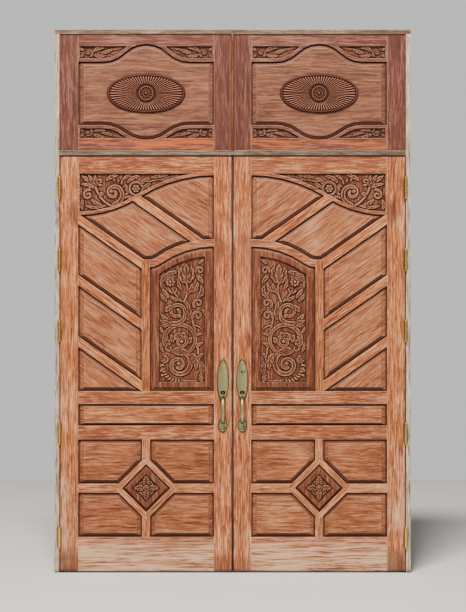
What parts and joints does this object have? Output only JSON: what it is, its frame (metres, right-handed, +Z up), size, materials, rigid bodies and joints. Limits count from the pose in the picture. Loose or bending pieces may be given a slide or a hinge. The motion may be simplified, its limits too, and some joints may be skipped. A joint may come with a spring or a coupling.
{
  "type": "carved double door with over-panels",
  "caption": "Pair of carved and panelled wooden leaves in a thin frame, with fixed ogee panels above, brass hinges and thumb-latch handles.",
  "frame": {"origin": "floor level at mid-width, on the front plane of the closed leaves", "axes": "+Z up, +X to the right seen from outside, +Y into the building"},
  "size_m": [1.887, 0.1487, 2.88],
  "materials": {
    "leaf_wood": "worn satin varnish",
    "over_wood": "faded matt",
    "carved_wood": "weathered carving",
    "frame_wood": "weathered, unvarnished",
    "hinge_brass": "polished",
    "handle_bronze": "aged",
    "bolt_steel": "plain"
  },
  "bodies": {
    "frame": {"left_jamb": "frame_wood", "right_jamb": "frame_wood", "head": "frame_wood", "transom_bar": "frame_wood", "mullion": "over_wood", "over_stiles": "over_wood", "over_rails": "over_wood", "over_panels": "over_wood", "over_spandrels": "carved_wood", "medallions": "carved_wood", "hinge_jamb_halves": "hinge_brass"},
    "left_leaf": {"left_hinge_stile": "leaf_wood", "left_meeting_stile": "leaf_wood", "left_rails": "leaf_wood", "left_centre_post": "leaf_wood", "left_slanted_bars": "leaf_wood", "left_diamond_lattice": "leaf_wood", "left_upper_panels": "leaf_wood", "left_corner_panels": "leaf_wood", "left_long_panel": "leaf_wood", "left_carved_panel": "carved_wood", "left_carved_diamond": "carved_wood", "left_carved_spandrel": "carved_wood", "left_hinge_leaf_halves": "hinge_brass", "left_handle": "handle_bronze", "strike_plate": "bolt_steel", "bolt_brackets": "bolt_steel"},
    "right_leaf": {"right_hinge_stile": "leaf_wood", "right_meeting_stile": "leaf_wood", "right_rails": "leaf_wood", "right_centre_post": "leaf_wood", "right_slanted_bars": "leaf_wood", "right_diamond_lattice": "leaf_wood", "right_upper_panels": "leaf_wood", "right_corner_panels": "leaf_wood", "right_long_panel": "leaf_wood", "right_carved_panel": "carved_wood", "right_carved_diamond": "carved_wood", "right_carved_spandrel": "carved_wood", "right_hinge_leaf_halves": "hinge_brass", "right_handle": "handle_bronze", "lock_case": "bolt_steel", "inside_plate": "handle_bronze"},
    "left_thumb": {"left_thumb_piece": "handle_bronze"},
    "right_thumb": {"right_thumb_piece": "handle_bronze"},
    "latch": {"latch_bolt": "bolt_steel"},
    "deadbolt": {"deadbolt": "bolt_steel"},
    "key_plug": {"key_plug": "handle_bronze"},
    "thumb_turn": {"thumb_turn": "handle_bronze"},
    "inside_knob": {"inside_knob": "handle_bronze"},
    "top_bolt": {"top_bolt": "bolt_steel"},
    "bottom_bolt": {"bottom_bolt": "bolt_steel"}
  },
  "joints": [
    {"name": "left_leaf_swing", "type": "hinge", "parent": "frame", "child": "left_leaf", "pos_m": [-0.917, -0.0065, 0], "axis": [0, 0, -1], "range_deg": [0, 165]},
    {"name": "right_leaf_swing", "type": "hinge", "parent": "frame", "child": "right_leaf", "pos_m": [0.917, -0.0065, 0], "axis": [0, 0, 1], "range_deg": [0, 165]},
    {"name": "left_thumb_press", "type": "hinge", "parent": "left_leaf", "child": "left_thumb", "pos_m": [-0.051, 0.002, 0.955], "axis": [1, 0, 0], "range_deg": [0, 12], "stiffness_Nm_per_rad": 0.6, "springref_deg": -11.46},
    {"name": "right_thumb_press", "type": "hinge", "parent": "right_leaf", "child": "right_thumb", "pos_m": [0.051, 0.002, 0.955], "axis": [1, 0, 0], "range_deg": [0, 12], "stiffness_Nm_per_rad": 0.6, "springref_deg": -11.46},
    {"name": "latch_slide", "type": "slide", "parent": "right_leaf", "child": "latch", "axis": [1, 0, 0], "range_m": [0, 0.011], "stiffness_N_per_m": 250, "springref_m": -0.008},
    {"name": "thumb_turn_turn", "type": "hinge", "parent": "right_leaf", "child": "thumb_turn", "pos_m": [0.051, 0.05, 1.066], "axis": [0, 1, 0], "range_deg": [0, 90]},
    {"name": "deadbolt_slide", "type": "slide", "parent": "right_leaf", "child": "deadbolt", "axis": [-1, 0, 0], "range_m": [0, 0.02]},
    {"name": "key_plug_turn", "type": "hinge", "parent": "right_leaf", "child": "key_plug", "pos_m": [0.051, 0, 1.066], "axis": [0, 1, 0], "range_deg": [0, 90]},
    {"name": "inside_knob_turn", "type": "hinge", "parent": "right_leaf", "child": "inside_knob", "pos_m": [0.051, 0.05, 0.985], "axis": [0, 1, 0], "range_deg": [-45, 45], "stiffness_Nm_per_rad": 0.3},
    {"name": "top_bolt_slide", "type": "slide", "parent": "left_leaf", "child": "top_bolt", "axis": [0, 0, 1], "range_m": [0, 0.026]},
    {"name": "bottom_bolt_slide", "type": "slide", "parent": "left_leaf", "child": "bottom_bolt", "axis": [0, 0, -1], "range_m": [0, 0.026]}
  ],
  "couplings": [
    {"joint": "right_thumb_press", "follows": "latch_slide", "rad_per_m": 19.039},
    {"joint": "thumb_turn_turn", "follows": "deadbolt_slide", "rad_per_m": 78.53},
    {"joint": "key_plug_turn", "follows": "deadbolt_slide", "rad_per_m": 78.53}
  ]
}
